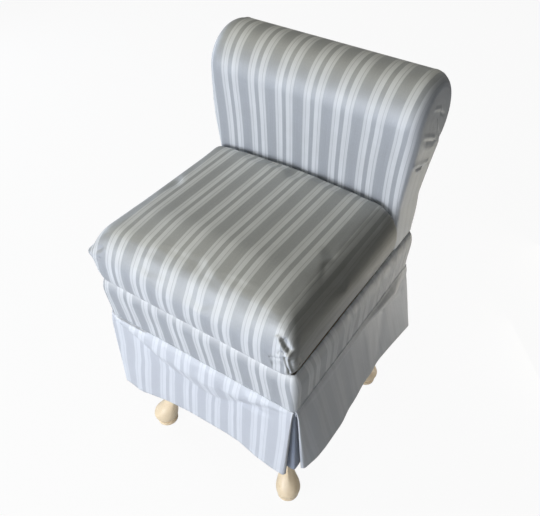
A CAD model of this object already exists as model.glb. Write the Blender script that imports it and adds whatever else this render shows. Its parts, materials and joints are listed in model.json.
import json
import math
import bmesh
import bpy
import numpy as np
from mathutils import Matrix, Vector

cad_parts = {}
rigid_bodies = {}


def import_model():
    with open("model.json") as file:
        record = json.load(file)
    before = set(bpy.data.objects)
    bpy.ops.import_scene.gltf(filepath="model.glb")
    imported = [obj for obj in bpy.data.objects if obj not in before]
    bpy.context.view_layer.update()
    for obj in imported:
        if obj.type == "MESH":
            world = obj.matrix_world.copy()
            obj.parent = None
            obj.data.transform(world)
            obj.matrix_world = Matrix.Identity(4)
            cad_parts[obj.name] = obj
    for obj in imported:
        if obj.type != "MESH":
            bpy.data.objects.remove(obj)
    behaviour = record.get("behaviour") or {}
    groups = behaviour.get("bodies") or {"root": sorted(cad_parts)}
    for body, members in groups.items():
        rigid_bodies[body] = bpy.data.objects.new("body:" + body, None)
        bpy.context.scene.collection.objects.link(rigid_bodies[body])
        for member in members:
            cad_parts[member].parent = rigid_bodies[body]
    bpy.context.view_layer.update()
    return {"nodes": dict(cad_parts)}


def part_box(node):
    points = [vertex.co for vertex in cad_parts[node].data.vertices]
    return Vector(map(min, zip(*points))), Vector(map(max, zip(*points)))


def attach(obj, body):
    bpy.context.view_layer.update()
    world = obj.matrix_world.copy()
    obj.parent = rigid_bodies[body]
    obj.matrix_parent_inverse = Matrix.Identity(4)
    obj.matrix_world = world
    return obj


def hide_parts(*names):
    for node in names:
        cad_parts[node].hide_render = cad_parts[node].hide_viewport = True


for leftover in list(bpy.data.objects):
    bpy.data.objects.remove(leftover)
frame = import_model()
nodes = frame["nodes"]
scene = bpy.context.scene
scene.view_settings.view_transform = "Standard"

# The room. The chair stands on a plain white floor, before a wide window to its front left and a small
# one to its right, which make the satin shine on what faces them. Walls and ceiling give a soft fill.
rail_low, rail_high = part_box("front_rail")
rear_rail_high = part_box("rear_rail")[1]
middle = np.array([(rail_low.x + rail_high.x) / 2, (rail_low.y + rear_rail_high.y) / 2, 0])

camera_data = bpy.data.cameras.new("camera")
camera_data.sensor_width, camera_data.lens = 36, 42.5
camera_data.shift_x, camera_data.shift_y = -0.0839, -0.0764
camera_data.clip_start = 0.05
camera = bpy.data.objects.new("camera", camera_data)
scene.collection.objects.link(camera)
camera_place = Vector((0.54033, -0.73175, 1.29352)) + Vector(middle)
azimuth, elevation, roll = (math.radians(angle) for angle in (30.47, 39.14, 1.8))
camera.matrix_world = (
    Matrix.Translation(camera_place) @ Matrix.Rotation(azimuth, 4, "Z")
    @ Matrix.Rotation(math.pi / 2 - elevation, 4, "X") @ Matrix.Rotation(roll, 4, "Z")
)
scene.camera = camera

for name, place, target, size, power, colour in (
    ("window", (-0.6, -2.6, 1.05), (0, 0, 0.45), (1.9, 1.0), 60, (0.94, 0.96, 1.0)),
    ("second_window", (0.75, -2.6, 1.15), (0, 0, 0.5), (0.9, 1.0), 8, (0.96, 0.97, 1.0)),
    ("left_wall", (-2.4, 0.2, 1.0), (0, 0, 0.4), (1.4, 1.4), 25, (0.73, 0.82, 1.0)),
    ("ceiling", (-1.1, -0.3, 2.4), (0, 0, 0.4), (2.0, 2.0), 16.5, (1.0, 0.93, 0.7)),
    ("right_floor", (0.6, 0.75, 0.05), (0.2, 0.1, 0.25), (0.5, 0.3), 1.5, (1.0, 0.92, 0.72)),
    ("rear_floor", (0.52, 0.42, 0.04), (0.2, 0.15, 0.3), (0.3, 0.3), 0.9, (1.0, 0.94, 0.86)),
    ("right_wall", (1.4, -2.0, 1.6), (0.2, 0, 0.7), (1.0, 1.0), 9, (0.98, 0.98, 0.95)),
    ("rear_wall", (0.0, 2.4, 1.7), (0, 0, 0.5), (2.0, 1.0), 5, (0.95, 0.97, 1.0)),
):
    lamp = bpy.data.lights.new(name, "AREA")
    lamp.shape = "RECTANGLE"
    lamp.size, lamp.size_y = size
    lamp.energy, lamp.color = power, colour
    light = bpy.data.objects.new(name, lamp)
    light.location = place
    light.rotation_euler = (Vector(target) - Vector(place)).to_track_quat("-Z", "Y").to_euler()
    light.visible_camera = False
    scene.collection.objects.link(light)


def add(tree, kind, values=None, **settings):
    """One node with its settings, and its inputs set or linked. A kind without a family is a shader node's."""
    node = tree.nodes.new(kind if "Node" in kind else "ShaderNode" + kind)
    for name, value in settings.items():
        setattr(node, name, value)
    for key, value in (values or {}).items():
        if isinstance(value, bpy.types.NodeSocket):
            tree.links.new(value, node.inputs[key])
        else:
            node.inputs[key].default_value = value
    return node


def maths(tree, operation, *values):
    return add(tree, "Math", dict(enumerate(values)), operation=operation).outputs[0]


def times(tree, first, second, plus=None):
    values = (first, second) if plus is None else (first, second, plus)
    return maths(tree, "MULTIPLY" if plus is None else "MULTIPLY_ADD", *values)


def white_backdrop(tree, shader, share):
    """Plain white to the camera with a share of the lit surface in it, and a little white to shiny cloth."""
    ray = add(tree, "LightPath").outputs
    seen = maths(tree, "MAXIMUM", ray["Is Camera Ray"], ray["Is Transmission Ray"])
    seen = times(tree, ray["Is Glossy Ray"], 0.2, seen)
    white = add(tree, "Emission" if share else "Background", {"Color": (1, 1, 1, 1), "Strength": 1.0})
    return add(tree, "MixShader", {0: times(tree, seen, 1 - share), 1: shader, 2: white.outputs[0]}).outputs[0]


def empty_tree(owner):
    owner.use_nodes = True
    owner.node_tree.nodes.clear()
    return owner.node_tree


world = bpy.data.worlds.new("room")
scene.world = world
tree = empty_tree(world)
glow = add(tree, "Background", {"Color": (0.83, 0.86, 0.9, 1), "Strength": 0.02})
add(tree, "OutputWorld", {"Surface": white_backdrop(tree, glow.outputs[0], 0)})

floor_mesh = bpy.data.meshes.new("floor")
floor_mesh.from_pydata([(-6, -6, 0), (6, -6, 0), (6, 6, 0), (-6, 6, 0)], [], [(0, 1, 2, 3)])
floor = bpy.data.objects.new("floor", floor_mesh)
scene.collection.objects.link(floor)
floor_paint = bpy.data.materials.new("white_floor")
tree = empty_tree(floor_paint)
matt = add(tree, "BsdfDiffuse", {"Color": (0.62, 0.62, 0.62, 1)})
add(tree, "OutputMaterial", {"Surface": white_backdrop(tree, matt.outputs[0], 0.06)})
floor_mesh.materials.append(floor_paint)

# The seat frame: four hardwood rails butted against the legs' square tops, with a notched block
# glued into each corner. It is planed but unfinished timber, with glue and pencil dirt on it.


def group(name, inputs, outputs, kind="ShaderNodeTree"):
    """An empty node group, and the nodes for its inputs and outputs: each socket by its kind or its value."""
    tree = bpy.data.node_groups.new(name, kind)
    for direction, sockets in (("INPUT", inputs), ("OUTPUT", outputs)):
        for label, value in sockets.items():
            kinds = {float: "Float", int: "Int", tuple: "Color"}
            said = value if isinstance(value, str) else kinds[type(value)]
            socket = tree.interface.new_socket(label, in_out=direction, socket_type="NodeSocket" + said)
            if said is not value:
                socket.default_value = value
    return tree, tree.nodes.new("NodeGroupInput").outputs, tree.nodes.new("NodeGroupOutput").inputs


def join_up(tree, put, ends):
    for label, source in ends.items():
        tree.links.new(source, put[label])


def use_group(tree, made, values):
    return add(tree, "Group", values, node_tree=made).outputs


def blend(tree, share, first, second):
    return add(tree, "Mix", {0: share, 6: first, 7: second}, data_type="RGBA", blend_type="MIX").outputs[2]


def between(tree, value, low, high, to_low=0.0, to_high=1.0):
    values = {"Value": value, "From Min": low, "From Max": high, "To Min": to_low, "To Max": to_high}
    return add(tree, "MapRange", values).outputs[0]


def noise(tree, vector, scale, detail=3.0, roughness=0.55):
    values = {"Vector": vector, "Scale": scale, "Detail": detail, "Roughness": roughness}
    return add(tree, "TexNoise", values).outputs[0]


def stretched(tree, vector, scale, turn=(0, 0, 0)):
    return add(tree, "Mapping", {"Vector": vector, "Scale": scale, "Rotation": turn}).outputs[0]


def principled(tree, values, height, distance, strength=1.0):
    shader = add(tree, "BsdfPrincipled", values)
    bump = add(tree, "Bump", {"Height": height, "Distance": distance, "Strength": strength})
    tree.links.new(bump.outputs[0], shader.inputs["Normal"])
    add(tree, "OutputMaterial", {"Surface": shader.outputs[0]})


def new_material(name):
    """A material, its tree, and the place on the piece that its pattern is read from."""
    material = bpy.data.materials.new(name)
    tree = empty_tree(material)
    return material, tree, add(tree, "TexCoord").outputs["Object"]


def new_cloth(name):
    """The same for a cloth, whose pattern follows its threads."""
    material = bpy.data.materials.new(name)
    tree = empty_tree(material)
    return material, tree, add(tree, "UVMap", uv_map="cloth").outputs[0]


grain_group, given, put = group(
    "wood grain", {"Place": "Vector", "Light": (1, 1, 1, 1), "Dark": (0, 0, 0, 1), "Rings": 70.0},
    {"Colour": "Color", "Pores": "Float"},
)
t = grain_group
swirl = add(t, "TexNoise", {"Vector": given["Place"], "Scale": 9.0, "Detail": 2.0}).outputs[1]
warped = add(t, "VectorMath", {0: given["Place"], 1: swirl}, operation="ADD").outputs[0]
ring_values = {"Vector": warped, "Scale": given["Rings"], "Distortion": 3.5, "Detail": 2.0, "Detail Scale": 1.6}
rings = add(t, "TexWave", ring_values, bands_direction="Y").outputs[1]
fibres = noise(t, stretched(t, given["Place"], (14.0, 260.0, 260.0)), 3.0, 4.0)
pores = between(t, noise(t, stretched(t, given["Place"], (30.0, 900.0, 900.0)), 2.0, 2.0), 0.6, 0.72)
tone = times(t, rings, 0.55, times(t, fibres, 0.45))
colour = blend(t, between(t, tone, 0.25, 0.8), given["Dark"], given["Light"])
colour = blend(t, times(t, pores, 0.35), colour, given["Dark"])
join_up(t, put, {"Colour": colour, "Pores": pores})


def raw_timber(name, turn):
    """Planed hardwood, its grain turned along the piece."""
    material, tree, place = new_material(name)
    place = stretched(tree, place, (1, 1, 1), turn)
    tones = {"Light": (0.66, 0.48, 0.29, 1), "Dark": (0.4, 0.25, 0.13, 1), "Rings": 55.0}
    grain = use_group(tree, grain_group, {"Place": place, **tones})
    smear = between(tree, noise(tree, place, 22.0, 3.0), 0.35, 0.75)
    colour = blend(tree, times(tree, smear, 0.25), grain["Colour"], (0.33, 0.24, 0.16, 1))
    height = times(tree, grain["Pores"], -0.6, noise(tree, place, 400.0, 2.0))
    rough = between(tree, smear, 0, 1, 0.62, 0.8)
    principled(tree, {"Base Color": colour, "Roughness": rough}, height, 0.0002)
    return material


def dress(names, material):
    for name in names:
        nodes[name].data.materials.clear()
        nodes[name].data.materials.append(material)


timber_across = raw_timber("timber_across", (0, 0, 0))
timber_deep = raw_timber("timber_deep", (0, 0, math.pi / 2))
timber_upright = raw_timber("timber_upright", (0, math.pi / 2, 0))
corner_signs = {"front_left": (-1, -1), "front_right": (1, -1), "rear_right": (1, 1), "rear_left": (-1, 1)}
dress(["front_rail", "rear_rail"] + [corner + "_corner_block" for corner in corner_signs], timber_across)
dress(["left_rail", "right_rail"], timber_deep)

# The legs: cabriole legs cut from one piece of hardwood each, shaped by rasp with a ridge down the
# shin and a drawn-out toe, on a small turned disc. They are bleached, limed and clear-lacquered.
leg_size = 0.04
frame_half_x = (rail_high.x - rail_low.x) / 2 + leg_size
frame_half_y = (rear_rail_high.y - rail_low.y) / 2
knee_top = rail_low.z
leg_table = np.array([
    # height, inset of the centre, half size, squareness, toe, ridge
    [1.262, 0.5, 0.5, 0.95, 0, 0], [1.0, 0.5, 0.5, 0.9, 0, 0], [0.95, 0.515, 0.5, 0.85, 0, 0],
    [0.89, 0.525, 0.5, 0.8, 0, 0], [0.81, 0.6, 0.47, 0.76, 0, 0], [0.71, 0.74, 0.43, 0.74, 0, 0],
    [0.6, 0.91, 0.395, 0.72, 0, 0], [0.475, 1.08, 0.365, 0.7, 0, 0], [0.363, 1.22, 0.34, 0.68, 0, 0],
    [0.28, 1.31, 0.322, 0.66, 0, 0], [0.235, 1.31, 0.32, 0.6, 0, 0.02], [0.2, 1.28, 0.33, 0.44, 0.02, 0.04],
    [0.17, 1.22, 0.365, 0.22, 0.06, 0.04], [0.145, 1.14, 0.435, 0.06, 0.11, 0.02], [0.12, 1.055, 0.525, 0, 0.14, 0],
    [0.095, 0.985, 0.602, 0, 0.14, 0], [0.073, 0.95, 0.632, 0, 0.11, 0], [0.055, 0.94, 0.615, 0, 0.08, 0],
    [0.04, 0.945, 0.565, 0, 0.05, 0], [0.031, 0.95, 0.505, 0, 0.02, 0], [0.0275, 0.95, 0.455, 0, 0, 0],
    [0.0255, 0.95, 0.452, 0, 0, 0], [0.0245, 0.95, 0.52, 0, 0, 0], [0.022, 0.95, 0.552, 0, 0, 0],
    [0.0175, 0.95, 0.56, 0, 0, 0], [0.0165, 0.95, 0.546, 0, 0, 0], [0.0155, 0.95, 0.56, 0, 0, 0],
    [0.0045, 0.95, 0.555, 0, 0, 0], [0.0, 0.95, 0.51, 0, 0, 0],
])[::-1]
disc_top, ankle, leg_top = 0.03, 0.32, leg_table[-1, 0]


def mesh_piece(name, points, faces, material, uv=None):
    """A named mesh from chair points in metres, smooth, with cloth lengths in its UV map if given."""
    mesh = bpy.data.meshes.new(name)
    faces = [tuple(int(k) for k in face) for face in faces]
    mesh.from_pydata((np.asarray(points).reshape(-1, 3) + middle).tolist(), [], faces)
    if uv is not None:
        flat = np.array([uv[k] for face in faces for k in face], np.float32)
        mesh.uv_layers.new(name="cloth").data.foreach_set("uv", flat.ravel())
    mesh.materials.append(material)
    mesh.polygons.foreach_set("use_smooth", [True] * len(mesh.polygons))
    piece = bpy.data.objects.new(name, mesh)
    scene.collection.objects.link(piece)
    return piece


def grid_faces(rows, columns, wraps=False, start=0):
    faces = []
    for r in range(rows - 1):
        for c in range(columns if wraps else columns - 1):
            a, b = start + r * columns + c, start + r * columns + (c + 1) % columns
            faces.append((a, b, b + columns, a + columns))
    return faces


def tidy_mesh(piece, merge=0.00005):
    """Joins doubled points and turns every face outwards."""
    work = bmesh.new()
    work.from_mesh(piece.data)
    bmesh.ops.remove_doubles(work, verts=work.verts, dist=merge)
    bmesh.ops.dissolve_degenerate(work, edges=work.edges, dist=merge / 10)
    bmesh.ops.recalc_face_normals(work, faces=work.faces)
    work.to_mesh(piece.data)
    work.free()


def settled(piece):
    """Turns the piece's modifiers into its mesh."""
    graph = bpy.context.evaluated_depsgraph_get()
    made = bpy.data.meshes.new_from_object(piece.evaluated_get(graph), preserve_all_data_layers=True, depsgraph=graph)
    piece.modifiers.clear()
    piece.data = made


def fitted(piece, slot, *stands_for):
    """Puts a piece on the chair's one body, in its slot, in the place of the CAD solids it stands for."""
    if stands_for:
        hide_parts(*stands_for)
    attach(piece, "root")


bleached_wood, tree, place = new_material("bleached_wood")
place = stretched(tree, place, (1, 1, 1), (0, math.pi / 2, 0))
tones = {"Light": (0.9, 0.76, 0.55, 1), "Dark": (0.68, 0.5, 0.3, 1), "Rings": 36.0}
grain = use_group(tree, grain_group, {"Place": place, **tones})
worn = between(tree, add(tree, "NewGeometry").outputs["Pointiness"], 0.46, 0.54)
hollows = times(tree, between(tree, worn, 0.0, 0.45, 1.0, 0.0), 0.45)
stains = times(tree, between(tree, noise(tree, place, 60.0, 4.0), 0.5, 0.72), 0.18)
colour = blend(tree, 0.45, grain["Colour"], (0.92, 0.8, 0.6, 1))
colour = blend(tree, hollows, colour, (0.5, 0.36, 0.2, 1))
colour = blend(tree, stains, colour, (0.55, 0.4, 0.24, 1))
gloss = times(tree, noise(tree, place, 35.0), 0.14, 0.3)
lacquer = {"Base Color": colour, "Roughness": gloss, "Coat Weight": 0.25, "Coat Roughness": 0.18}
principled(tree, lacquer, grain["Pores"], -0.00012)

turn_steps = 80
heights = [np.linspace(0, disc_top, 61), np.linspace(disc_top, ankle, 90), np.linspace(ankle, leg_top, 80)]
heights = np.unique(np.concatenate(heights))[::-1]
station = np.stack([np.interp(heights, leg_table[:, 0], leg_table[:, k]) for k in range(1, 6)], 1)
for _ in range(3):
    eased = station.copy()
    eased[1:-1] = (station[:-2] + 2 * station[1:-1] + station[2:]) / 4
    station = np.where(heights[:, None] > 0.028, eased, station)
angle = (np.arange(turn_steps) + 0.5) / turn_steps * 2 * math.pi
round_x, round_y = np.cos(angle), np.sin(angle)
corner_reach = np.maximum(abs(round_x), abs(round_y))
forward = np.maximum(0, (round_x + round_y) * math.sqrt(0.5))
from_shin = abs((angle - math.pi / 4 + math.pi) % (2 * math.pi) - math.pi)
shin = np.exp(-(from_shin / 0.2) ** 2) - 0.35 * np.exp(-((from_shin - 0.55) / 0.3) ** 2)
for corner, (sx, sy) in corner_signs.items():
    loops = []
    for height, (inset, half, square, toe, ridge) in zip(heights, station):
        drawn = half * (1 + toe * forward ** 1.5 + ridge * shin) * (1 - square + square / corner_reach)
        x = sx * (frame_half_x - (inset - round_x * drawn) * leg_size)
        y = sy * (frame_half_y - (inset - round_y * drawn) * leg_size)
        loops.append(np.stack([x, y, np.full(turn_steps, height * knee_top)], 1))
    loops = np.array(loops)
    last = loops.size // 3
    faces = grid_faces(len(loops), turn_steps, True)
    for centre, first in ((last, 0), (last + 1, last - turn_steps)):
        faces += [(centre, first + k, first + (k + 1) % turn_steps) for k in range(turn_steps)]
    points = np.concatenate([loops.reshape(-1, 3), [loops[0].mean(0), loops[-1].mean(0)]])
    leg = mesh_piece("carved_leg_" + corner, points, faces, bleached_wood)
    tidy_mesh(leg)
    fitted(leg, "bleached_wood", corner + "_leg")

# The seat springs: four sinuous springs of oiled wire, arched from the front rail to the rear one and
# held in rolled steel clips that are nailed to the rails.
steel, tree, place = new_material("spring_steel")
drawn_lines = noise(tree, stretched(tree, place, (40, 900, 900)), 2.0)
bloom = between(tree, noise(tree, place, 55.0, 4.0), 0.55, 0.72)
colour = blend(tree, bloom, (0.2, 0.205, 0.215, 1), (0.24, 0.13, 0.075, 1))
metal = maths(tree, "SUBTRACT", 0.95, times(tree, bloom, 0.6))
rough = times(tree, bloom, 0.35, times(tree, drawn_lines, 0.2, 0.28))
principled(tree, {"Base Color": colour, "Metallic": metal, "Roughness": rough}, drawn_lines, 0.00008)
springs = [f"seat_spring_{k}" for k in range(1, 5)]
dress(springs + [f"spring_clip_{end}_{k}" for end in ("front", "rear") for k in range(1, 5)], steel)

# The seat's two cloths: burlap stretched over the springs and stapled to the rails, which shows the
# springs through it, and thin black dust cloth stapled under the rails, cut round the legs.
weave_group, given, put = group(
    "plain weave", {"Cloth": "Vector", "Pitch": 0.002}, {"Height": "Float", "Open": "Float"}
)
t = weave_group
split = add(t, "SeparateXYZ", {0: given["Cloth"]}).outputs
pitches = [maths(t, "DIVIDE", split[k], given["Pitch"]) for k in (0, 1)]
warp, weft = (maths(t, "PINGPONG", threads, 0.5) for threads in pitches)
cells = [maths(t, "FLOOR", threads) for threads in pitches]
over = maths(t, "MODULO", maths(t, "ADD", cells[0], maths(t, "ADD", cells[1], 1000.0)), 2.0)
lifted = maths(t, "ADD", times(t, warp, over), times(t, weft, maths(t, "SUBTRACT", 1.0, over)))
join_up(t, put, {
    "Height": maths(t, "ADD", maths(t, "ADD", warp, weft), lifted),
    "Open": between(t, maths(t, "MAXIMUM", warp, weft), 0.12, 0.2),
})


def woven(name, colour, dark, pitch, rough, depth):
    """A plain-woven cloth."""
    material, tree, cloth = new_cloth(name)
    threads = use_group(tree, weave_group, {"Cloth": cloth, "Pitch": pitch})
    slub = noise(tree, stretched(tree, cloth, (40, 900, 1)), 1.0, 2.0)
    patch = noise(tree, cloth, 18.0, 4.0)
    tone = blend(tree, times(tree, threads["Open"], 0.9), dark, colour)
    tone = blend(tree, between(tree, slub, 0.35, 0.75, 0.0, 0.3), tone, dark)
    tone = blend(tree, between(tree, patch, 0.3, 0.8, 0.0, 0.25), tone, dark)
    rough = between(tree, patch, 0, 1, rough - 0.06, rough + 0.06)
    principled(tree, {"Base Color": tone, "Roughness": rough, "Sheen Weight": 0.15}, threads["Height"], depth)
    return material


burlap = woven("burlap", (0.5, 0.37, 0.2, 1), (0.2, 0.13, 0.06, 1), 0.0022, 0.9, 0.0005)
cambric = woven("black_cambric", (0.022, 0.022, 0.024, 1), (0.006, 0.006, 0.007, 1), 0.0009, 0.88, 0.0002)
webbing = woven("webbing", (0.03, 0.03, 0.032, 1), (0.01, 0.01, 0.011, 1), 0.0016, 0.85, 0.0003)


def thicken(piece, thickness, inside=None):
    """Gives a sheet its thickness behind its face, with its lining there if it has one."""
    thick = piece.modifiers.new("thickness", "SOLIDIFY")
    thick.thickness, thick.offset = thickness, -1.0
    if inside:
        piece.data.materials.append(inside)
        thick.material_offset = 1
    settled(piece)


def cloth_piece(name, points, u, v, material, thickness=0.001, inside=None):
    """A sheet of cloth through rows of chair points, u and v being the lengths along its threads."""
    rows, columns = points.shape[:2]
    uv = np.stack([np.broadcast_to(u, (rows, columns)), np.broadcast_to(v, (rows, columns))], 2)
    piece = mesh_piece(name, points, grid_faces(rows, columns), material, uv.reshape(-1, 2))
    if thickness:
        thicken(piece, thickness, inside)
    return piece


def smooth(low, high, value):
    share = np.clip((np.asarray(value, float) - low) / (high - low), 0, 1)
    return share * share * (3 - 2 * share)


deck_low, deck_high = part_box("deck_cloth")
deck_half = (deck_high.x - deck_low.x) / 2
deck_x = np.linspace(-deck_half, deck_half, 129)
deck_x, deck_y = np.meshgrid(deck_x, np.linspace(-frame_half_y, frame_half_y, 161))
arch = np.sin(math.pi * (deck_y + frame_half_y) / (2 * frame_half_y))
deck_z = deck_low.z + 0.0006 + (deck_high.z - deck_low.z - 0.0012) * arch
spring_x = np.array([(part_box(name)[0].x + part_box(name)[1].x) / 2 - middle[0] for name in springs])
hollow = smooth(0.017, 0.034, np.min(abs(deck_x[..., None] - spring_x), 2)) * arch
deck = cloth_piece("burlap_deck", np.stack([deck_x, deck_y, deck_z - 0.003 * hollow], 2), deck_x, deck_y, burlap)
fitted(deck, "burlap", "deck_cloth")

dust_low, dust_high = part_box("dust_cover")
dust_x, dust_y = (dust_high.x - dust_low.x) / 2, (dust_high.y - dust_low.y) / 2
notch = leg_size + 0.0003
lines_x, lines_y = (
    np.unique(np.concatenate([np.linspace(-half, half, 71), [notch - half, half - notch]]))
    for half in (dust_x, dust_y)
)
grid_x, grid_y = np.meshgrid(lines_x, lines_y)
sag = np.cos(grid_x / dust_x * math.pi / 2) * np.cos(grid_y / dust_y * math.pi / 2)
creases = 0.0007 * np.sin(grid_x * 60 + 3 * np.sin(grid_y * 9)) * smooth(0, 0.5, sag)
dust_z = dust_high.z - 0.0003 - 0.006 * sag ** 0.8 + creases * 0.6
dust_points = np.stack([grid_x, grid_y, dust_z], 2).reshape(-1, 3)
faces = np.array(grid_faces(len(lines_y), len(lines_x)))[:, [0, 3, 2, 1]]
face_middle = abs(dust_points[faces].mean(1))
faces = faces[(face_middle[:, 0] < dust_x - notch) | (face_middle[:, 1] < dust_y - notch)]
used, faces = np.unique(faces, return_inverse=True)
dust_points = dust_points[used]
dust = mesh_piece("dust_cloth", dust_points, faces.reshape(-1, 4), cambric, dust_points[:, :2])
thicken(dust, 0.0006)
fitted(dust, "cambric", "dust_cover")

# Staples: fine wire staples through the cloth into the rails, one beside the other along each edge. One
# tree lays small wire bars in a row along a path, and it makes the hand stitches of the back too.
staple_metal, tree, place = new_material("staple_wire")
dull = noise(tree, place, 300.0, 3.0)
colour = blend(tree, dull, (0.5, 0.5, 0.52, 1), (0.3, 0.29, 0.28, 1))
rough = between(tree, dull, 0, 1, 0.25, 0.5)
principled(tree, {"Base Color": colour, "Metallic": 1.0, "Roughness": rough}, dull, 0.00005)

row_tree, given, put = group(
    "Row of wire bars",
    {"Geometry": "Geometry", "Spacing": 0.02, "Length": 0.01, "Thickness": 0.001, "Lift": 0.0,
     "Turn": 0.0, "Scatter": 0.1, "Seed": 3, "Finish": "Material"},
    {"Geometry": "Geometry"}, "GeometryNodeTree",
)
t = row_tree


def geo(kind, values=None, **settings):
    return add(t, "GeometryNode" + kind, values, **settings)


def bar_point(x, z):
    return add(t, "CombineXYZ", {0: x, 2: z}).outputs[0]


path = geo("MeshToCurve", {0: given["Geometry"]}).outputs[0]
spaced = geo("ResampleCurve", {"Curve": path, "Length": given["Spacing"]}, mode="LENGTH").outputs[0]
away = geo("InputNamedAttribute", {"Name": "away"}, data_type="FLOAT_VECTOR").outputs[0]
onward = geo("InputTangent").outputs[0]
upward = add(t, "FunctionNodeAlignRotationToVector", {"Vector": away}, axis="Z").outputs[0]
lying = {"Rotation": upward, "Vector": onward}
lying = add(t, "FunctionNodeAlignRotationToVector", lying, axis="X", pivot_axis="Z").outputs[0]
kept = geo("CaptureAttribute", {0: spaced})
kept.capture_items.new("ROTATION", "turned")
t.links.new(lying, kept.inputs["turned"])
spots = geo("CurveToPoints", {0: kept.outputs[0]}, mode="EVALUATED").outputs[0]
scatter = {2: times(t, given["Scatter"], -1.0), 3: given["Scatter"], "Seed": given["Seed"]}
scatter = add(t, "FunctionNodeRandomValue", scatter, data_type="FLOAT").outputs[1]
twist = add(t, "CombineXYZ", {2: maths(t, "ADD", given["Turn"], scatter)}).outputs[0]
twist = add(t, "FunctionNodeEulerToRotation", {0: twist}).outputs[0]
twist = add(t, "FunctionNodeRotateRotation", {0: kept.outputs["turned"], 1: twist}, rotation_space="LOCAL")
half_length = times(t, given["Length"], 0.5)
sunk = maths(t, "SUBTRACT", given["Lift"], times(t, given["Thickness"], 2.2))
corners = [
    bar_point(times(t, half_length, -1.12), sunk), bar_point(times(t, half_length, -1.0), given["Lift"]),
    bar_point(half_length, given["Lift"]), bar_point(times(t, half_length, 1.12), sunk),
]
bars = geo("JoinGeometry")
for first, second in zip(corners, corners[1:]):
    t.links.new(geo("CurvePrimitiveLine", {0: first, 1: second}).outputs[0], bars.inputs[0])
ring = geo("CurvePrimitiveCircle", {"Resolution": 6, "Radius": times(t, given["Thickness"], 0.5)}).outputs[0]
bar = geo("CurveToMesh", {"Curve": bars.outputs[0], "Profile Curve": ring, "Fill Caps": True}).outputs[0]
copies = {"Points": spots, "Instance": bar, "Rotation": twist.outputs[0]}
copies = geo("RealizeInstances", {0: geo("InstanceOnPoints", copies).outputs[0]}).outputs[0]
painted = geo("SetMaterial", {"Geometry": copies, "Material": given["Finish"]})
join_up(t, put, {"Geometry": painted.outputs[0]})


def wire_row(name, paths, outward, finish, slot, **sizes):
    """Bars along paths of chair points, their backs turned outward, as one plain mesh."""
    points, edges = [], []
    for path in paths:
        edges += [(len(points) + k, len(points) + k + 1) for k in range(len(path) - 1)]
        points += [tuple(np.asarray(p) + middle) for p in path]
    mesh = bpy.data.meshes.new(name)
    mesh.from_pydata(points, edges, [])
    away = mesh.attributes.new("away", "FLOAT_VECTOR", "POINT")
    away.data.foreach_set("vector", np.tile(np.array(outward, np.float32), len(points)))
    piece = bpy.data.objects.new(name, mesh)
    scene.collection.objects.link(piece)
    modifier = piece.modifiers.new("row", "NODES")
    modifier.node_group = row_tree
    sizes["Finish"] = finish
    for item in row_tree.interface.items_tree:
        if item.in_out == "INPUT" and item.name in sizes:
            modifier[item.identifier] = sizes[item.name]
    settled(piece)
    piece.data.materials.clear()
    piece.data.materials.append(finish)
    fitted(piece, slot)


staple = {"finish": staple_metal, "slot": "spring_steel", "Length": 0.0105, "Thickness": 0.0009, "Turn": 0.0}
deck_edge = [(x, deck_low.z + 0.0014) for x in np.linspace(0.012 - deck_half, deck_half - 0.012, 16)]
deck_paths = [[(x, y, z) for x, z in deck_edge] for y in (0.010 - frame_half_y, frame_half_y - 0.010)]
wire_row("deck_staples", deck_paths, (0, 0, 1), Spacing=0.021, Lift=0.0003, Seed=8, Scatter=0.3, **staple)
edge_in, corner_in, under_z = 0.006, notch + 0.008, dust_high.z - 0.0011
dust_paths = []
for sign in (-1, 1):
    along_x = np.linspace(corner_in - dust_x, dust_x - corner_in, 12)
    along_y = np.linspace(corner_in - dust_y, dust_y - corner_in, 12)
    dust_paths.append([(x, sign * (dust_y - edge_in), under_z) for x in along_x])
    dust_paths.append([(sign * (dust_x - edge_in), y, under_z) for y in along_y])
wire_row("dust_cloth_staples", dust_paths, (0, 0, -1), Spacing=0.024, Lift=0.0002, Seed=5, Scatter=0.35, **staple)

# The back's frame: two scroll-topped boards that stand on the side rails and are held by cleats, cross
# rails between them at the scroll and behind the seat, and three straps of webbing across the front.
back_boards = ["left_back_board", "right_back_board"]
dress(back_boards + ["left_back_cleat", "right_back_cleat"], timber_upright)
dress(["crest_rail", "scroll_front_rail", "scroll_rear_rail", "back_tack_rail"], timber_across)
for level in ("low", "middle", "high"):
    low, high = (np.array(end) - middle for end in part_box("back_strap_" + level))
    strap_x, strap_z = np.meshgrid(np.linspace(low[0], high[0], 82), np.linspace(low[2], high[2], 12))
    points = np.stack([strap_x, np.full_like(strap_x, low[1]), strap_z], 2)
    strap = cloth_piece("webbing_" + level, points, strap_x, strap_z, webbing, 0.0015)
    fitted(strap, "strap", "back_strap_" + level)

# The satin: a woven stripe in silver and blue grey, 58 mm from one pair of bars to the next. The wide
# ground is a smooth warp satin that shines; the bars are a duller, paler weave. It hides a fine rib.
half_repeat = 0.0292
satin_group, given, put = group(
    "striped satin",
    {"Cloth": "Vector", "Phase": 0.0155, "Upward": 0.0, "Soil": 0.0, "Haze": 0.0, "Sideways": 0.0, "Dim": 0.0,
     "Crown": 0.0},
    {"Colour": "Color", "Roughness": "Float", "Metallic": "Float", "Height": "Float"},
)
t, cloth = satin_group, given["Cloth"]
across = add(t, "SeparateXYZ", {0: cloth}).outputs[0]
waver = maths(t, "SUBTRACT", noise(t, stretched(t, cloth, (30, 9, 1)), 1.0, 2.0), 0.5)
across = maths(t, "SUBTRACT", maths(t, "ADD", across, times(t, waver, 0.0006)), given["Phase"])
stripe = add(t, "ValToRGB", {0: maths(t, "DIVIDE", maths(t, "PINGPONG", across, half_repeat), half_repeat)})
ramp = stripe.color_ramp.elements
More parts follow.
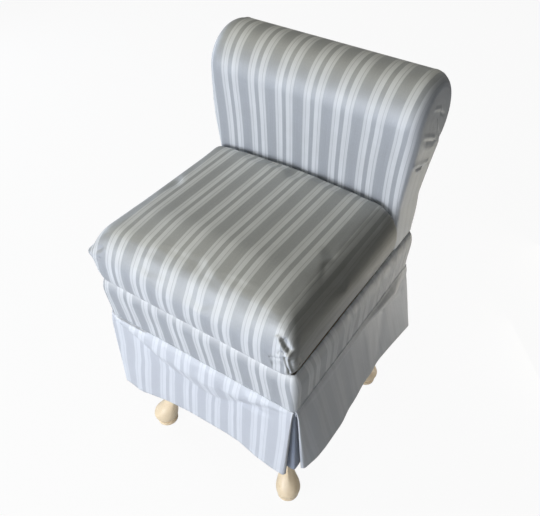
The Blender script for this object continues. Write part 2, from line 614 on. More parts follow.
ramp[0].color, ramp[1].color = (0.06, 0.06, 0.06, 1), (0, 0, 0, 1)
for millimetres, value in (
    (3.9, 0.06), (4.6, 1), (11.9, 1), (12.4, 0.35), (13.3, 0.35), (13.8, 0.9), (18.1, 0.84), (18.8, 0.06)
):
    ramp.new(millimetres / 1000 / half_repeat).color = (value, value, value, 1)
bar = times(t, stripe.outputs[0], times(t, given["Sideways"], -0.4, times(t, given["Haze"], -0.1, 1.0)))
pick = noise(t, stretched(t, cloth, (2200, 160, 1)), 1.0, 2.0, 0.5)
float_lines = noise(t, stretched(t, cloth, (900, 12, 1)), 1.0, 2.0, 0.5)
cloudy = noise(t, cloth, 26.0)
cell = add(t, "TexVoronoi", {"Vector": cloth, "Scale": 17.0, "Randomness": 1.0}).outputs
chosen = between(t, add(t, "SeparateColor", {0: cell[1]}).outputs[0], 0.6, 0.62)
speck = times(t, between(t, cell[0], 0.014, 0.024, 1.0, 0.0), chosen)
ground = blend(t, given["Upward"], (0.37, 0.40, 0.45, 1), (0.33, 0.34, 0.335, 1))
colour = blend(t, bar, ground, blend(t, given["Upward"], (0.63, 0.665, 0.715, 1), (0.60, 0.615, 0.61, 1)))
for amount, tint in (
    (between(t, float_lines, 0.3, 0.7, 0.0, 0.16), (0.16, 0.18, 0.21, 1)),
    (between(t, pick, 0.55, 0.8, 0.0, 0.22), (0.72, 0.76, 0.82, 1)),
    (between(t, cloudy, 0.3, 0.75, 0.0, 0.1), (0.26, 0.26, 0.25, 1)),
    (times(t, given["Haze"], 0.42), (0.76, 0.81, 0.92, 1)),
    (given["Dim"], (0.13, 0.13, 0.11, 1)),
    (given["Crown"], (0.8, 0.83, 0.87, 1)),
    (times(t, speck, given["Soil"]), (0.07, 0.07, 0.09, 1)),
):
    colour = blend(t, amount, colour, tint)
join_up(t, put, {
    "Colour": colour,
    "Roughness": times(t, bar, 0.08, times(t, cloudy, 0.1, 0.49)),
    "Metallic": times(t, bar, -0.14, 0.26),
    "Height": times(t, bar, 0.5, times(t, pick, 0.7, times(t, float_lines, 0.6))),
})


def satin(name, phase, soil=0.0, haze=0.0, dim=0.42, crown=0.0, fade=1.0):
    """The satin, with its stripes set over, its soil and haze, and its changes where it faces aside or up."""
    material, tree, cloth = new_cloth(name)
    normal = add(tree, "SeparateXYZ", {0: add(tree, "NewGeometry").outputs["Normal"]}).outputs
    made = use_group(tree, satin_group, {
        "Cloth": cloth, "Phase": phase, "Soil": soil, "Haze": haze,
        "Upward": between(tree, normal[2], 0.15, 0.95),
        "Sideways": times(tree, between(tree, maths(tree, "ABSOLUTE", normal[0]), 0.45, 0.9), fade),
        "Dim": times(tree, between(tree, normal[0], 0.25, 0.75), dim),
        "Crown": times(tree, between(tree, normal[2], 0.1, 0.6), crown),
    })
    values = {"Base Color": made["Colour"], "Roughness": made["Roughness"], "Metallic": made["Metallic"]}
    values.update({"Specular IOR Level": 0.6, "Sheen Weight": 0.08, "Sheen Roughness": 0.45})
    principled(tree, values, made["Height"], 0.00012, 0.8)
    return material


pad_satin = satin("satin_pad", 0.0170, soil=1.0, dim=0.75)
back_satin = satin("satin_back", 0.0155, dim=0.0, fade=2.1)
band_satin = satin("satin_band", 0.0185, dim=0.3, crown=0.32, fade=-0.6)

# The seat pad: a block of foam crowned in the middle, under a satin cover that is pulled down over a
# round front edge, folded into a pleat at each front corner and tacked along the seat frame.


def vectors(piece, kind="co"):
    found = np.zeros(len(piece.data.vertices) * 3, np.float32)
    piece.data.vertices.foreach_get(kind, found)
    return found.reshape(-1, 3).astype(float)


def move_points(piece, points):
    piece.data.vertices.foreach_set("co", points.ravel().astype(np.float32))
    piece.data.update()


def swell(piece, pressure, cap, held, bend, tension=25.0, frames=20):
    """Blows the cover up as stuffing does, by cloth simulation, and caps how far a point may move."""
    rest = vectors(piece)
    cloth = piece.modifiers.new("stuffing", "CLOTH")
    rules = cloth.settings
    rules.quality, rules.mass, rules.air_damping = 5, 0.25, 4
    rules.use_pressure, rules.uniform_pressure_force = True, pressure
    rules.effector_weights.gravity = 0
    rules.tension_stiffness = rules.compression_stiffness = tension
    rules.shear_stiffness, rules.bending_stiffness = tension / 2, bend
    cloth.collision_settings.use_collision = False
    pins = piece.vertex_groups.new(name="held")
    pins.add(np.flatnonzero(held).tolist(), 1.0, "REPLACE")
    rules.vertex_group_mass = "held"
    cloth.point_cache.frame_start, cloth.point_cache.frame_end = 1, frames
    for number in range(1, frames + 1):
        scene.frame_set(number)
    shift = vectors(piece.evaluated_get(bpy.context.evaluated_depsgraph_get())) - rest
    piece.modifiers.remove(cloth)
    scene.frame_set(1)
    length = np.linalg.norm(shift, axis=1, keepdims=True)
    move_points(piece, rest + shift * np.minimum(1, cap / np.maximum(length, 1e-9)))


pad_low, pad_high = (np.array(end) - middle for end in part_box("seat_cover"))
pad_half, pad_front, pad_rear = pad_high[0], -pad_low[1], pad_high[1]
pad_crown = 0.018
pad_base, pad_edge = pad_low[2], pad_high[2] - pad_crown
front_round, side_round, left_round, rear_round, corner_round = 0.036, 0.040, 0.016, 0.009, 0.020
slack = 0.003


def pad_top(x, y):
    return pad_edge + pad_crown * (1 - np.minimum(1, (x / pad_half) ** 2)) * smooth(-pad_front, 0.12 - pad_front, y)


def rounded_outline(left, right, front, rear, front_radius, rear_radius, steps=12, between_steps=28):
    parts = []
    for x, y, radius, first in (
        (left + front_radius, front + front_radius, front_radius, 180),
        (right - front_radius, front + front_radius, front_radius, 270),
        (right - rear_radius, rear - rear_radius, rear_radius, 0),
        (left + rear_radius, rear - rear_radius, rear_radius, 90),
    ):
        angle = np.radians(first + np.linspace(0, 90, steps))
        parts.append(np.stack([x + radius * np.cos(angle), y + radius * np.sin(angle)], 1))
    loop = []
    for part, after in zip(parts, parts[1:] + parts[:1]):
        loop += [part, part[-1] + (after[0] - part[-1]) * np.linspace(0, 1, between_steps + 2)[1:-1, None]]
    return np.concatenate(loop)


def pad_level(rise):
    tuck = 0.006 * (1 - math.sqrt(1 - max(0, 1 - rise / 0.2) ** 2)) + slack
    side_tuck = 0.011 * (1 - math.sqrt(1 - max(0, 1 - rise / 0.38) ** 2)) + slack
    turn = 1 - math.sqrt(max(0, 1 - max(0, (rise - 0.42) / 0.58) ** 2))
    plan = rounded_outline(
        -pad_half + side_tuck + turn * left_round, pad_half - side_tuck - turn * side_round,
        -pad_front + tuck + turn * front_round, pad_rear - tuck / 2 - turn * rear_round, corner_round, 0.01,
    )
    return np.column_stack([plan, pad_base + rise * (pad_top(*plan.T) - pad_base)])


levels = [pad_level(rise) for rise in np.sin(np.linspace(0, math.pi / 2, 34))]
pad_middle = np.array([0, (pad_rear - pad_front) / 2])
foot, rim = levels[0], levels[-1]
for share in np.linspace(1, 0, 26)[1:]:
    plan = pad_middle + (rim[:, :2] - pad_middle) * share
    levels.append(np.column_stack([plan, pad_top(*plan.T) - slack * 0.6]))
for share in np.linspace(1, 0, 20)[1:]:
    plan = pad_middle + (levels[0][:, :2] - pad_middle) * share
    levels.insert(0, np.column_stack([plan, np.full(len(plan), pad_base)]))
pad = mesh_piece("seat_pad", levels, grid_faces(len(levels), len(rim), True), pad_satin)
tidy_mesh(pad, 0.0002)
remesh = pad.modifiers.new("even", "REMESH")
remesh.mode, remesh.voxel_size = "VOXEL", 0.0055
settled(pad)
swell(pad, 4.0, 0.0035, vectors(pad)[:, 2] < pad_base + 0.004, bend=40.0)
p = vectors(pad) - middle
belly = np.sin(math.pi * np.clip((p[:, 2] - pad_base) / (pad_edge - pad_base), 0, 1)) ** 0.8
belly *= smooth(0.13, 0.20, abs(p[:, 0])) * np.where(p[:, 0] < 0, 0.0085, 0.002 + 0.004 * smooth(-0.1, 0.1, p[:, 1]))
p[:, 0] += np.sign(p[:, 0]) * belly
move_points(pad, p + middle)
finer = pad.modifiers.new("finer", "SUBSURF")
finer.levels = finer.render_levels = 1
settled(pad)

work = bmesh.new()
work.from_mesh(pad.data)
near = {
    v for v in work.verts
    if abs(v.co.x - middle[0]) > 0.162 and v.co.y - middle[1] < -0.190 and pad_base < v.co.z < 0.572
}
near_edges = [e for e in work.edges if near.issuperset(e.verts)]
bmesh.ops.subdivide_edges(work, edges=near_edges, cuts=1, use_grid_fill=True)
work.to_mesh(pad.data)
work.free()


def worked(points, normals, strokes, side=1, gain=1.0, ends=0.15):
    """Raises folds and presses creases (below zero) along short lines in the cloth of one side."""
    for stroke in np.array(strokes) / 1000:
        start, end = stroke[:3] * (side, 1, 1), stroke[3:6] * (side, 1, 1)
        line = end - start
        share = np.clip((points - start) @ line / (line @ line), 0, 1)
        distance = np.linalg.norm(points - (start + share[:, None] * line), axis=1)
        taper = smooth(0, ends, share) * (1 - smooth(1 - ends, 1, share))
        height = stroke[7] * gain * np.exp(-(distance / stroke[6]) ** 2) * taper
        points = points + normals * height[:, None]
    return points


# The pleat at a front corner, in millimetres: the start and the end of each fold, its width and height.
# A ridge with a hollow beside it, the tip's shadow, the folded edge with its flap and the drag lines.
corner_pleat = [
    (176, -217, 553, 196, -223, 529, 4.2, 2.4), (186, -217, 550, 204.5, -219.5, 531, 5, -4.6),
    (184, -217, 552, 198, -220, 537, 3, -2), (166, -226, 504, 194, -225, 511.5, 3.2, -2.2),
    (170, -226, 490, 198, -224, 497, 10, -2.2), (191, -224.5, 533, 184, -225, 519, 2.4, -1.8),
    (190, -224.3, 528.5, 194, -224.3, 526, 2.6, -3.4), (195.5, -224.5, 524, 203.5, -220.5, 476, 2.2, -4.2),
    (199.5, -224, 524, 206.5, -219, 476, 2.4, 3.2), (207.5, -219, 518, 212, -213, 482, 7, 3),
    (207, -218, 502, 214, -204, 494, 2.8, -1.8), (211, -209, 520, 214, -196, 486, 3.6, -1.4),
]
p, normal = vectors(pad) - middle, vectors(pad, "normal")
for side, gain, tip, size, pull in (
    (-1, 0.35, (-0.2085, -0.2170, 0.528), 0.0110, (-0.0095, -0.0040, 0.0020)),
    (1, 1.0, (0.2010, -0.2225, 0.5275), 0.0058, (0.0030, -0.0050, -0.0005)),
):
    p = worked(p, normal, corner_pleat, side, gain)
    p += np.exp(-(np.linalg.norm(p - tip, axis=1, keepdims=True) / size) ** 2) * np.array(pull)
move_points(pad, p + middle)


def over_the_side(x, rise, radius):
    """Where the cloth over a long edge of the pad is: on the round by x, and below it by its height."""
    steps = np.linspace(0, 1, 80)
    inset = radius * (1 - np.sqrt(np.maximum(0, 1 - np.maximum(0, (steps - 0.42) / 0.58) ** 2)))
    step = np.hypot(np.diff(inset), np.diff(steps) * (pad_edge - pad_base))
    length = np.append(np.cumsum(step[::-1])[::-1], 0)
    on_round = steps >= 0.42
    by_x = np.interp(x, (pad_half - inset[on_round])[::-1], length[on_round][::-1])
    by_height = np.interp(rise, steps, length)
    fallen = np.where(rise > 0.42, np.minimum(by_x, by_height), by_height)
    inner = pad_half - radius
    return np.where(x > inner, inner + fallen, x), np.where(x > inner, inner + by_x, x), by_height


rise = np.clip((p[:, 2] - pad_base) / (pad_top(p[:, 0], p[:, 1]) - pad_base), 0, 1)
right_u, right_front_u, fallen = over_the_side(abs(p[:, 0]), rise, side_round)
left_u, left_front_u, _ = over_the_side(abs(p[:, 0]), rise, left_round)
on_right = p[:, 0] > 0
side_u, front_u = np.where(on_right, right_u, -left_u), np.where(on_right, right_front_u, -left_front_u)
inner_y = pad_front - front_round
front_v = np.where(p[:, 1] < -inner_y, -inner_y - fallen, p[:, 1])
flat_uv = np.zeros((len(pad.data.loops), 2), np.float32)
for face in pad.data.polygons:
    ids = list(face.vertices)
    x, y = p[ids, :2].mean(0)
    is_side = abs(x) > pad_half - (side_round if x > 0 else left_round) and abs(x) - pad_half > -y - pad_front
    flat_uv[face.loop_indices] = np.column_stack((side_u[ids], p[ids, 1]) if is_side else (front_u[ids], front_v[ids]))
pad.data.uv_layers.new(name="cloth").data.foreach_set("uv", flat_uv.ravel())
pad.data.polygons.foreach_set("use_smooth", [True] * len(pad.data.polygons))
fitted(pad, "satin_stripe", "seat_cover", "seat_foam")

# The back: a foam sheet over the webbing and round the scroll, with a round pad in each end of the
# roll, under one satin cover that wraps the front, the sides and the roll and is tacked behind.
back_low, back_high = (np.array(end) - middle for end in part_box("back_cover"))
back_front, crest = back_low[1], back_high[2]
roll_radius = 0.080
roll_y, roll_z = back_front + roll_radius, crest - roll_radius
back_half = frame_half_x + 0.0045
flare = back_high[0] - back_half + 0.003
cover_end = math.radians(-62)
rear_top = roll_z + roll_radius * math.sin(cover_end) - 0.0006
bend_deep, bend_wide = (0.013, 0.026), (0.012, 0.029)
side_steps, bend_steps, front_steps = 46, 18, 28
band_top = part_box("band_front")[1].z


def rear_line(z):
    share = (z - band_top) / (roll_z - band_top)
    return frame_half_y + 0.007 + 0.011 * smooth(0, 0.2, share) + 0.004 * share + 0.060 * share ** 4


def back_reach(y, z):
    """How far the back reaches to a side, which flares towards the roll's middle line."""
    return back_half + flare * np.clip(1.0 - (np.hypot(y - roll_y, z - roll_z) - 0.058) / 0.120, 0, 1)


def back_stations():
    """For each row of the cover: its place on the front line, the way out there, its rear end, its softness."""
    def softness(z):
        return smooth(roll_z - 0.110, roll_z, z)

    for z in np.linspace(back_low[2], rear_top, 84):
        yield (back_front, z), (-1.0, 0.0), (rear_line(z) - 0.0023, z), softness(z)
    slit, rows = cover_end - math.radians(0.6), 24
    for share in np.linspace(0, 1, rows)[:-1]:
        z = rear_top + (roll_z - rear_top) * (share + 1 / rows)
        reach = (roll_radius - 0.004) * (1 - share)
        end = (roll_y + reach * math.cos(slit), roll_z + reach * math.sin(slit))
        yield (back_front, z), (-1.0, 0.0), end, softness(z)
    for angle in np.linspace(math.pi, cover_end, 84):
        out = (math.cos(angle), math.sin(angle))
        yield (roll_y + roll_radius * out[0], roll_z + roll_radius * out[1]), out, (roll_y, roll_z), 1.0


def back_row(station, inset=0.0, with_side=True):
    """One row of points, from the rear end of one side over the front to that of the other."""
    (front_y, front_z), (out_y, out_z), end, soft = station
    face = np.array([front_y - out_y * inset, front_z - out_z * inset])
    length = np.linalg.norm(face - end)
    away = (face - end) / length
    deep, wide = (low + (high - low) * soft - inset for low, high in (bend_deep, bend_wide))
    along_side = np.linspace(0, 1, side_steps)[:-1] * (length - deep) if with_side else np.array([])
    side_x = back_reach(*(end + away * along_side[:, None]).T) - inset
    edge_x = float(back_reach(*(end + away * (length - deep)))) - inset - wide
    turns = np.linspace(0, math.pi / 2, bend_steps)
    x = np.concatenate([side_x, edge_x + wide * np.cos(turns), edge_x * np.linspace(1, 0, front_steps)[1:]])
    along = np.concatenate([along_side, length - deep + deep * np.sin(turns), np.full(front_steps - 1, length)])
    half = np.column_stack([x, end[0] + away[0] * along, end[1] + away[1] * along])
    return np.concatenate([half * (-1, 1, 1), half[:-1][::-1]])


stations = list(back_stations())
skin = np.array([back_row(station) for station in stations])
rows, columns = skin.shape[:2]
centre = columns // 2
run = np.pad(np.cumsum(np.linalg.norm(np.diff(skin, axis=1), axis=2), axis=1), ((0, 0), (1, 0)))
spread = np.maximum(np.abs(skin[:, side_steps:-side_steps, 0]).max(1), back_half)
climbed = np.pad(np.cumsum(np.linalg.norm(np.diff(skin[:, centre], axis=0), axis=1)), (1, 0))
fanned = np.clip((climbed - 0.13) / 0.25, 0, 1)
gathered = (back_half / spread) ** (1.2 * fanned)
cloth_u = (run - run[:, [centre]]) * gathered[:, None] - 0.003 * fanned[:, None]
back = cloth_piece("rolled_back_cover", skin, cloth_u, climbed[:, None], back_satin, 0)
border = np.ones((rows, columns))
border[2:-2, 2:-2] = 0
swell(back, 1.6, 0.0035, border.ravel(), bend=4.0, tension=40.0)

# The folds at one end, as for the pleats: two puckers where the cover is pulled round the board, the
# flap tucked in at the roll's neck and a slit on top of the roll.
end_folds = [
    (222, 190, 759, 223, 226, 744, 4.2, 3.2), (223, 224, 738, 222, 250, 719, 3.4, -4.4),
    (222, 213, 728, 223, 217, 692, 3.8, 2.4), (222, 200, 730, 222, 204, 698, 3.4, -1.4),
    (222, 155, 721, 223, 220, 687, 4.5, 3.4), (222, 170, 707, 222.5, 225, 680, 3.4, -5.6),
    (221, 165, 695, 221, 215, 670, 7, 2), (216, 138, 668, 220, 212, 641, 5, 4.6),
    (218, 155, 655, 219, 190, 642, 4, -5.2), (219, 163, 646, 219, 185, 634, 3.6, 2.6),
    (192, 226, 809, 212, 244, 796, 3, -4.6), (197, 240, 803, 214, 252, 790, 4.5, 2.8),
]
p, normal = vectors(back) - middle, vectors(back, "normal")
if normal[rows // 3 * columns + centre, 1] > 0:
    normal = -normal
on_side = abs(p[:, 0]) > back_half - 0.0008
for side in (-1, 1):
    p = worked(p, normal, end_folds, side, 0.6)
p[on_side, 0] = np.sign(p[on_side, 0]) * np.maximum(abs(p[on_side, 0]), back_half - 0.0017)
move_points(back, p + middle)
thicken(back, 0.0018)
fitted(back, "satin_stripe", "back_cover")

foam, tree, place = new_material("upholstery_foam")
cells = add(tree, "TexVoronoi", {"Vector": place, "Scale": 900.0}).outputs[0]
yellowed = between(tree, noise(tree, place, 14.0, 4.0), 0.35, 0.75)
colour = blend(tree, yellowed, (0.86, 0.8, 0.6, 1), (0.74, 0.6, 0.33, 1))
colour = blend(tree, between(tree, cells, 0.0, 0.5, 0.35, 0.0), colour, (0.45, 0.36, 0.2, 1))
principled(tree, {"Base Color": colour, "Roughness": between(tree, yellowed, 0, 1, 0.9, 0.96)}, cells, 0.0004)
foam_depth = 0.0155
outer = np.array([back_row(station, 0.0024, False) for station in stations])
inner = outer.copy()
for r, (front, out, _, _) in enumerate(stations):
    depth = (front - outer[r, :, 1:]) @ out
    kept = np.flatnonzero(depth < foam_depth - 0.001)
    outer[r] = outer[r, np.clip(np.arange(outer.shape[1]), kept[0], kept[-1])]
    inner[r, :, 0] = outer[r, :, 0]
    inner[r, :, 1:] = np.array(front) - np.array(out) * foam_depth
rows, columns = outer.shape[:2]
count = rows * columns
faces = grid_faces(rows, columns) + [face[::-1] for face in grid_faces(rows, columns, start=count)]
rim = [r * columns for r in range(rows)] + [count - columns + c for c in range(1, columns)]
rim += [r * columns + columns - 1 for r in range(rows - 2, -1, -1)] + list(range(columns - 2, -1, -1))
faces += [(a, b, b + count, a + count) for a, b in zip(rim, rim[1:])]
foam_points = np.concatenate([outer.reshape(-1, 3), inner.reshape(-1, 3)])
back_foam = mesh_piece("back_foam_sheet", foam_points, faces, foam)
tidy_mesh(back_foam)
fitted(back_foam, "foam", "back_foam")
for name, side in (("left", -1), ("right", 1)):
    low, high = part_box(name + "_roll_pad")
    inner_end = frame_half_x + 0.0003
    turns = np.linspace(0, math.pi / 2, 16)
    radii = np.concatenate([[0, 0.046], 0.048 * np.cos(turns[:-1]) ** 0.7, [0]])[:, None]
    ends = np.concatenate([[inner_end] * 2, inner_end + (high.x - low.x) * np.sin(turns)])[:, None]
    spin = np.linspace(0, 2 * math.pi, 49)[:-1]
    round_pad = [np.broadcast_to(side * ends, (18, 48)), roll_y + radii * np.cos(spin), roll_z + radii * np.sin(spin)]
    roll_pad = mesh_piece(name + "_roll_end_pad", np.stack(round_pad, 2), grid_faces(18, 48, True), foam)
    tidy_mesh(roll_pad)
    fitted(roll_pad, "foam", name + "_roll_pad")

# The outside back: one flat panel of the satin from under the roll down to the band, its side edges
# turned under and slip-stitched to the cover.
panel_z = np.linspace(back_low[2], rear_top, 60)
share_x, grid_z = np.meshgrid(np.linspace(-1, 1, 101), panel_z)
grid_x = share_x * back_reach(rear_line(grid_z), grid_z)
share_z = (grid_z - back_low[2]) / (rear_top - back_low[2])
drag = 0.0008 * np.sin(grid_x * 70 + 4 * share_z) * smooth(0.5, 1.0, abs(share_x))
drag += 0.0006 * np.sin(grid_x * 160) * smooth(0.75, 1, share_z)
grid_y = rear_line(grid_z) + drag - 0.0012 * smooth(0.97, 1.0, abs(share_x))
length_z = np.pad(np.cumsum(np.hypot(np.diff(panel_z), np.diff(rear_line(panel_z)))), (1, 0))
points = np.stack([-grid_x, grid_y, grid_z], 2)
panel = cloth_piece("outside_back_panel", points, -grid_x, length_z[:, None], back_satin, 0.0018)
fitted(panel, "satin_stripe", "outside_back")
thread_grey, tree, place = new_material("sewing_thread")
twisted = noise(tree, place, 900.0, 2.0)
colour = blend(tree, twisted, (0.3, 0.32, 0.36, 1), (0.5, 0.53, 0.58, 1))
principled(tree, {"Base Color": colour, "Roughness": between(tree, twisted, 0, 1, 0.5, 0.7)}, twisted, 0.0001)
seam = list(zip(grid_x[2:-3, -1] - 0.003, grid_y[2:-3, -1] + 0.0025, panel_z[2:-3]))
seams = [[(side * x, y, z) for x, y, z in seam] for side in (-1, 1)]
stitch = {"Spacing": 0.008, "Length": 0.0046, "Thickness": 0.0006, "Lift": 0.0002, "Turn": math.pi / 2}
wire_row("outside_back_stitches", seams, (0, 1, 0), thread_grey, "satin_stripe", Seed=3, Scatter=0.3, **stitch)

# The band: a padded strip of the satin round the seat frame, turned over at the top, where the pad's
# edge presses it down, and tucked behind the skirt at the bottom.
band_low, band_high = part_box("band_front")
half_x = (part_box("band_right")[1].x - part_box("band_left")[0].x) / 2
half_y = (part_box("band_rear")[1].y - band_low.y) / 2
sides = {
    # the way out, the way along, how far out its face is, half its length
    "front": ((0, -1), (1, 0), half_y, half_x), "right": ((1, 0), (0, 1), half_x, half_y),
    "rear": ((0, 1), (-1, 0), half_y, half_x), "left": ((-1, 0), (0, -1), half_x, half_y),
}
band_thick, corner_radius, loop_steps = 0.0067, 0.009, 620
quarter = math.pi * corner_radius / 2
loop_total = 4 * (half_x + half_y - 2 * corner_radius + quarter)


def loop_place(length, inward):
    """The place in plan at a length round the frame, from the front left corner, some way in."""
    for out, way, reach, half in sides.values():
        out, way = np.array(out), np.array(way)
        straight = 2 * (half - corner_radius)
        if length <= straight + 1e-9:
            return out * (reach - inward) + way * (corner_radius - half + length)
        length -= straight
        if length <= quarter + 1e-9:
            angle = length / corner_radius
            turned = out * math.cos(angle) + way * math.sin(angle)
            corner = out * (reach - corner_radius) + way * (half - corner_radius)
            return corner + turned * (corner_radius - inward)
        length -= quarter


lengths = np.linspace(0, loop_total, loop_steps + 1)
section = np.array([
    # how far in, and how high up: shares of the band's thickness and height
    [0.98, 0.0], [0.5, 0.0], [0.2, 0.02], [0.06, 0.06], [0.0, 0.1], [-0.05, 0.16], [-0.17, 0.25], [-0.3, 0.36],
    [-0.52, 0.48], [-0.7, 0.6], [-0.8, 0.7], [-0.78, 0.78], [-0.62, 0.85], [-0.36, 0.905], [-0.04, 0.947],
    [0.36, 0.976], [0.75, 0.99], [1.02, 0.95], [1.0, 0.8], [1.0, 0.5], [1.0, 0.2], [1.0, 0.03],
])
section = np.array([section[0]] + [a + (b - a) * s for a, b in zip(section[:-1], section[1:]) for s in (0.5, 1.0)])
band_height = band_high.z - band_low.z
section_v = np.cumsum(np.hypot(*(np.diff(section, axis=0) * (band_thick, band_height)).T))
rng = np.random.default_rng(11)
lumps = [(rng.uniform(0, loop_total), rng.uniform(0.006, 0.02), rng.uniform(-1, 1)) for _ in range(70)]
band_points = np.zeros((len(section) + 1, loop_steps + 1, 3))
for c, length in enumerate(lengths):
    lump = sum(h * math.exp(-(min(abs(length - at), loop_total - abs(length - at)) / w) ** 2) for at, w, h in lumps)
    for r, (in_share, rise) in enumerate(section):
        face = (1 - in_share) * smooth(0.1, 0.35, rise)
        top = face * smooth(0.72, 0.95, rise)
        inward = in_share * band_thick + 0.0007 * lump * face + 0.0009 * abs(lump) * top
        band_points[r, c, :2] = loop_place(length % loop_total, inward)
        band_points[r, c, 2] = band_low.z + rise * band_height + 0.0006 * lump * top
band_points[-1] = band_points[0]
band_u = lengths - half_x + corner_radius
band_v = np.concatenate([[0], section_v, [section_v[-1] + 0.003]])
side_lean = np.interp(band_u, [0.16, 0.26, 0.56, 0.66], [0, 0.006, 0.006, 0])
band_lean = 0.0025 + (0.0055 + side_lean) * (1 - np.append(section[:, 1], 0))[:, None]
band = cloth_piece("seat_band", band_points, band_u - band_lean, band_v[:, None], band_satin, 0)
tidy_mesh(band)
fitted(band, "satin_stripe", "band_front", "band_right", "band_rear", "band_left")

# The skirt: four satin panels lined with cotton. Each hangs from a card strip tacked round the foot
# of the band, its top turned over the card in a soft roll, and its folds swing out to the hem.
card, tree, place = new_material("tacking_card")
fluff = noise(tree, place, 240.0, 4.0)
colour = blend(tree, fluff, (0.42, 0.3, 0.17, 1), (0.56, 0.44, 0.28, 1))
principled(tree, {"Base Color": colour, "Roughness": between(tree, fluff, 0, 1, 0.8, 0.95)}, fluff, 0.0002)
dress(["tack_strip_" + name for name in sides], card)

skirt_satin = satin("satin_skirt", 0.0185, haze=1.0)
lining, tree, cloth = new_cloth("skirt_lining")
threads = use_group(tree, weave_group, {"Cloth": cloth, "Pitch": 0.0007})
worn = noise(tree, cloth, 20.0, 4.0)
colour = blend(tree, between(tree, worn, 0.3, 0.75), (0.2, 0.24, 0.33, 1), (0.27, 0.31, 0.4, 1))
rough = between(tree, worn, 0, 1, 0.68, 0.8)
principled(tree, {"Base Color": colour, "Roughness": rough, "Sheen Weight": 0.2}, threads["Height"], 0.0001)

skirt_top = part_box("tack_strip_front")[1].z + 0.0015
hem_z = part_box("skirt_front")[0].z
skirt_stand = 0.13 * band_thick
# Each panel in millimetres, from its left end to its right: how far the hem stands out, how high the
# cloth breaks below the rail, how far it falls in there and how far its two ends lean out. Then its
# drape folds: where each starts and ends (along, up, along, up), how wide and how proud it is.
panel_shapes = {
    "front": (
        [8.4, 11, 1.8, -2.2, -3, -2.6, 8.4, 10], [366, 334, 293, 280, 274, 307, 346, 368],
        [0, 10, 15.5, 16.5, 15.5, 10, 5.5, 0], (-4.8, -15.4),
        [(-100, 350, -80, 330, 9, 1.6), (-50, 345, -32, 325, 9, 1.8), (4, 345, 22, 322, 9, 1.8),
         (52, 344, 74, 306, 7, -2.4), (80, 352, 100, 334, 11, 3), (112, 364, 134, 346, 10, 2.8),
         (85, 312, 150, 330, 8, -2.6), (-155, 262, -160, 178, 16, 2.4), (120, 290, 140, 190, 14, -2.2)],
    ),
    "right": (
        [6, 17, 18, 13, 8, 8, 14, 22], [360, 350, 345, 350, 350, 330, 324, 345],
        [0, 1, 2, 3, 7, 13, 11.5, 0], (-17.6, 16.5),
        [(25, 360, 165, 322, 8, -3.6), (60, 372, 150, 352, 9, 3), (100, 350, 118, 318, 6, -2.6),
         (-150, 345, -165, 180, 20, 3), (-60, 350, -40, 180, 22, -2.5), (40, 330, 60, 180, 18, 2.6),
         (120, 320, 100, 200, 16, -2)],
    ),
    "rear": (
        [18, 12, 5.5, 3.3, 5.5, 4.4, 11, 18], [368, 350, 335, 325, 320, 330, 350, 368],
        [0, 1.5, 4, 5, 5, 4, 1.5, 0], (-15.4, -15.4),
        [(-140, 345, -150, 180, 20, 3), (0, 350, 20, 180, 24, -3), (140, 345, 120, 180, 20, 3)],
    ),
    "left": (
        [16.5, 11, 5.5, 7.7, 4.4, 6.6, 11, 9], [366, 355, 340, 330, 335, 345, 355, 366],
        [0, 1.5, 4, 4.5, 4, 3.5, 1.5, 0], (-15.4, -15.4),
        [(-150, 345, -130, 180, 20, 3), (10, 350, 0, 180, 24, -3), (150, 345, 160, 180, 20, 3)],
    ),
}
# How far the front panel's cloth is pulled to the right, in millimetres: a row for each height.
pull_x = np.array([-193, -118, -43, 32, 107, 182]) / 1000
pull_z = np.array([200, 250, 274, 298, 372]) / 1000
pull_table = np.array([
    [15, 12.2, 9.5, 5, 0, 1], [15, 16.5, 11.5, 6.5, -1, 2.5], [17, 19, 14.5, 10, -0.5, 3],
    [20.5, 18, 13.5, 8, 0, 3.5], [20, 22, 14, 8, 0, 0],
]) / 1000


def along_panel(values, share):
    """The value between stations spaced evenly along the panel, softened."""
    found = np.interp(share, np.linspace(0, 1, len(values)), np.array(values) / 1000)
    for _ in range(12):
        found[1:-1] = (found[:-2] + 2 * found[1:-1] + found[2:]) / 4
    return found


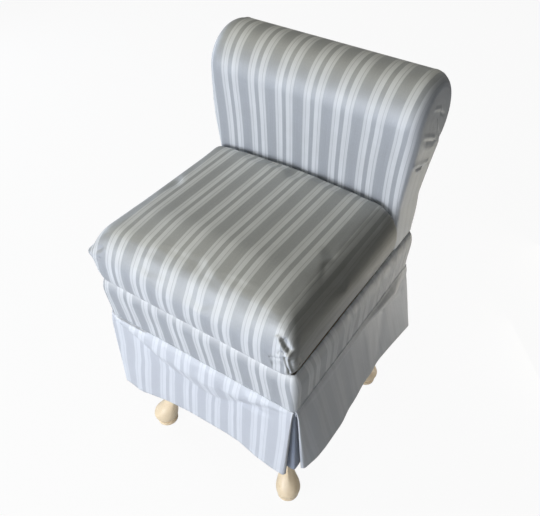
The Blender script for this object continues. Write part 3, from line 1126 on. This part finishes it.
even = np.linspace(0, 1, 161)
share = 0.6 * even + 0.4 * (0.5 - 0.5 * np.cos(math.pi * even))
drop = np.linspace(0, 1, 64)[:, None]
for number, (name, (out, way, reach, half)) in enumerate(sides.items()):
    hem, breaks, falls, leans, folds = panel_shapes[name]
    rng = np.random.default_rng(40 + number)
    short = 0.0018 + skirt_stand
    first_lean, last_lean = np.array(leans) / 1000
    start = -half + short - (first_lean + short) * drop
    finish = half - short + (last_lean + short) * drop
    along = start + (finish - start) * share
    z = np.broadcast_to(skirt_top + (hem_z - skirt_top) * drop, along.shape)
    break_z, fall_in = along_panel(breaks, share), along_panel(falls, share)
    above = (skirt_top - z) / (skirt_top - break_z)
    below = np.clip((break_z - z) / (break_z - hem_z), 0, 1)
    swing = 0.45 * fall_in * np.sin(math.pi / 2 * np.clip(above / 0.5, 0, 1))
    swing -= fall_in * np.clip((above - 0.42) / 0.58, 0, 1) ** 1.3
    swing += (along_panel(hem, share) + 0.55 * fall_in) * below ** 0.92
    for from_x, from_z, to_x, to_z, width, proud in np.array(folds) / 1000:
        line_x, line_z = to_x - from_x, to_z - from_z
        spot = ((along - from_x) * line_x + (z - from_z) * line_z) / (line_x ** 2 + line_z ** 2)
        spot = np.clip(spot, -0.2, 1.2)
        distance = np.hypot(along - from_x - spot * line_x, z - from_z - spot * line_z)
        taper = smooth(-0.2, 0.25, spot) * (1 - 0.6 * smooth(0.8, 1.2, spot)) * smooth(0.0, 0.1, drop)
        swing += proud * np.exp(-(distance / width) ** 2) * taper
    turned = 0.0015 + 0.005 * drop
    inside = np.maximum(0, turned - np.minimum(along - start, finish - along))
    swing -= turned - np.sqrt(np.maximum(0, turned ** 2 - inside ** 2))
    lumps = [(rng.uniform(-half, half), rng.uniform(0.014, 0.035), rng.uniform(-1, 1)) for _ in range(12)]
    top_x = along[0]
    wave = sum(h * np.exp(-((top_x - at) / w) ** 2) for at, w, h in lumps)
    slack = 0.5 * smooth(-0.205, -0.185, top_x) * (1 - smooth(-0.135, -0.100, top_x)) * (name == "front")
    top_radius = 0.0016 + 0.0003 * wave
    shoulder = (0.0030 + 0.0006 * wave) * (1 - np.exp(-(drop / 0.035) ** 1.3)) * (1 - 0.6 * smooth(0.1, 0.9, drop))
    level = np.ones_like(top_x)
    top_rows = [np.stack([level * (-skirt_stand - 0.0002), top_x, level * (skirt_top - 0.011)], 1)]
    for angle in np.linspace(math.pi, 0, 9)[:-1]:
        bend_out = 0.0006 - skirt_stand + top_radius * math.cos(angle) + 0.0012 * slack
        bend_up = skirt_top - 0.0006 - 0.0022 * slack + top_radius * math.sin(angle)
        top_rows.append(np.stack([bend_out, top_x, bend_up], 1))
    hang = 0.0006 - skirt_stand + swing + top_radius + shoulder + 0.0012 * slack * np.exp(-(drop / 0.1) ** 2)
    rows = np.concatenate([top_rows, np.stack([hang, along, z - 0.0006], 2)])
    points = rows.copy()
    for axis in (0, 1):
        points[..., axis] = out[axis] * (reach + rows[..., 0]) + way[axis] * rows[..., 1]
    fall = np.pad(np.cumsum(np.linalg.norm(np.diff(points, axis=0), axis=2), axis=0), ((1, 0), (0, 0)))
    hem_run = np.pad(np.cumsum(np.linalg.norm(np.diff(points[-1], axis=0), axis=1)), (1, 0))
    panel_u = hem_run - hem_run[-1] / 2 - (0.12 if name == "right" else 0.0) * fall[::-1]
    if name == "front":
        pulled = np.array([np.interp(panel_u[0], pull_x, row) for row in pull_table])
        heights = points[::-1, :, 2]
        shifts = [np.interp(heights[:, k], pull_z, pulled[:, k]) for k in range(len(hem_run))]
        panel_u = panel_u - np.stack(shifts, 1)
    panel_v = (fall[-1] - fall)[::-1]
    skirt = cloth_piece("skirt_panel_" + name, points[::-1], panel_u, panel_v, skirt_satin, 0.0015, lining)
    fitted(skirt, "satin_stripe", "skirt_" + name)

# The kick pleats: behind each open corner of the skirt hangs a folded piece of the same cloth, wrong
# side out, tacked to the rails, so that the leg doesn't show through the opening.
fold_radius, reach_in = 0.0035, 0.058
for corner, (sx, sy) in corner_signs.items():
    low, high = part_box(corner + "_pleat_underlay")
    bend_x, bend_y = frame_half_x + 0.0018 - fold_radius, frame_half_y + 0.0018 - fold_radius
    path = [(bend_x + fold_radius, bend_y - d) for d in np.linspace(reach_in, 0, 16)]
    for angle in np.linspace(0, math.pi / 2, 9)[1:]:
        path.append((bend_x + fold_radius * math.cos(angle), bend_y + fold_radius * math.sin(angle)))
    path += [(bend_x - d, bend_y + fold_radius) for d in np.linspace(0, reach_in, 16)[1:]]
    path = np.array(path)
    run = np.pad(np.cumsum(np.linalg.norm(np.diff(path, axis=0), axis=1)), (1, 0))
    levels_z = np.linspace(low.z, high.z, 48)[:, None]
    wave = 0.0007 * np.sin(run / run[-1] * 19) * smooth(1.0, 0.3, (levels_z - low.z) / (high.z - low.z))
    points = np.stack([sx * (path[:, 0] + wave), sy * (path[:, 1] + wave), levels_z + 0 * wave], 2)
    if sx * sy > 0:
        points = points[:, ::-1]
    insert = cloth_piece("pleat_insert_" + corner, points, run, levels_z - low.z, lining, 0.0014)
    fitted(insert, "lining", corner + "_pleat_underlay")
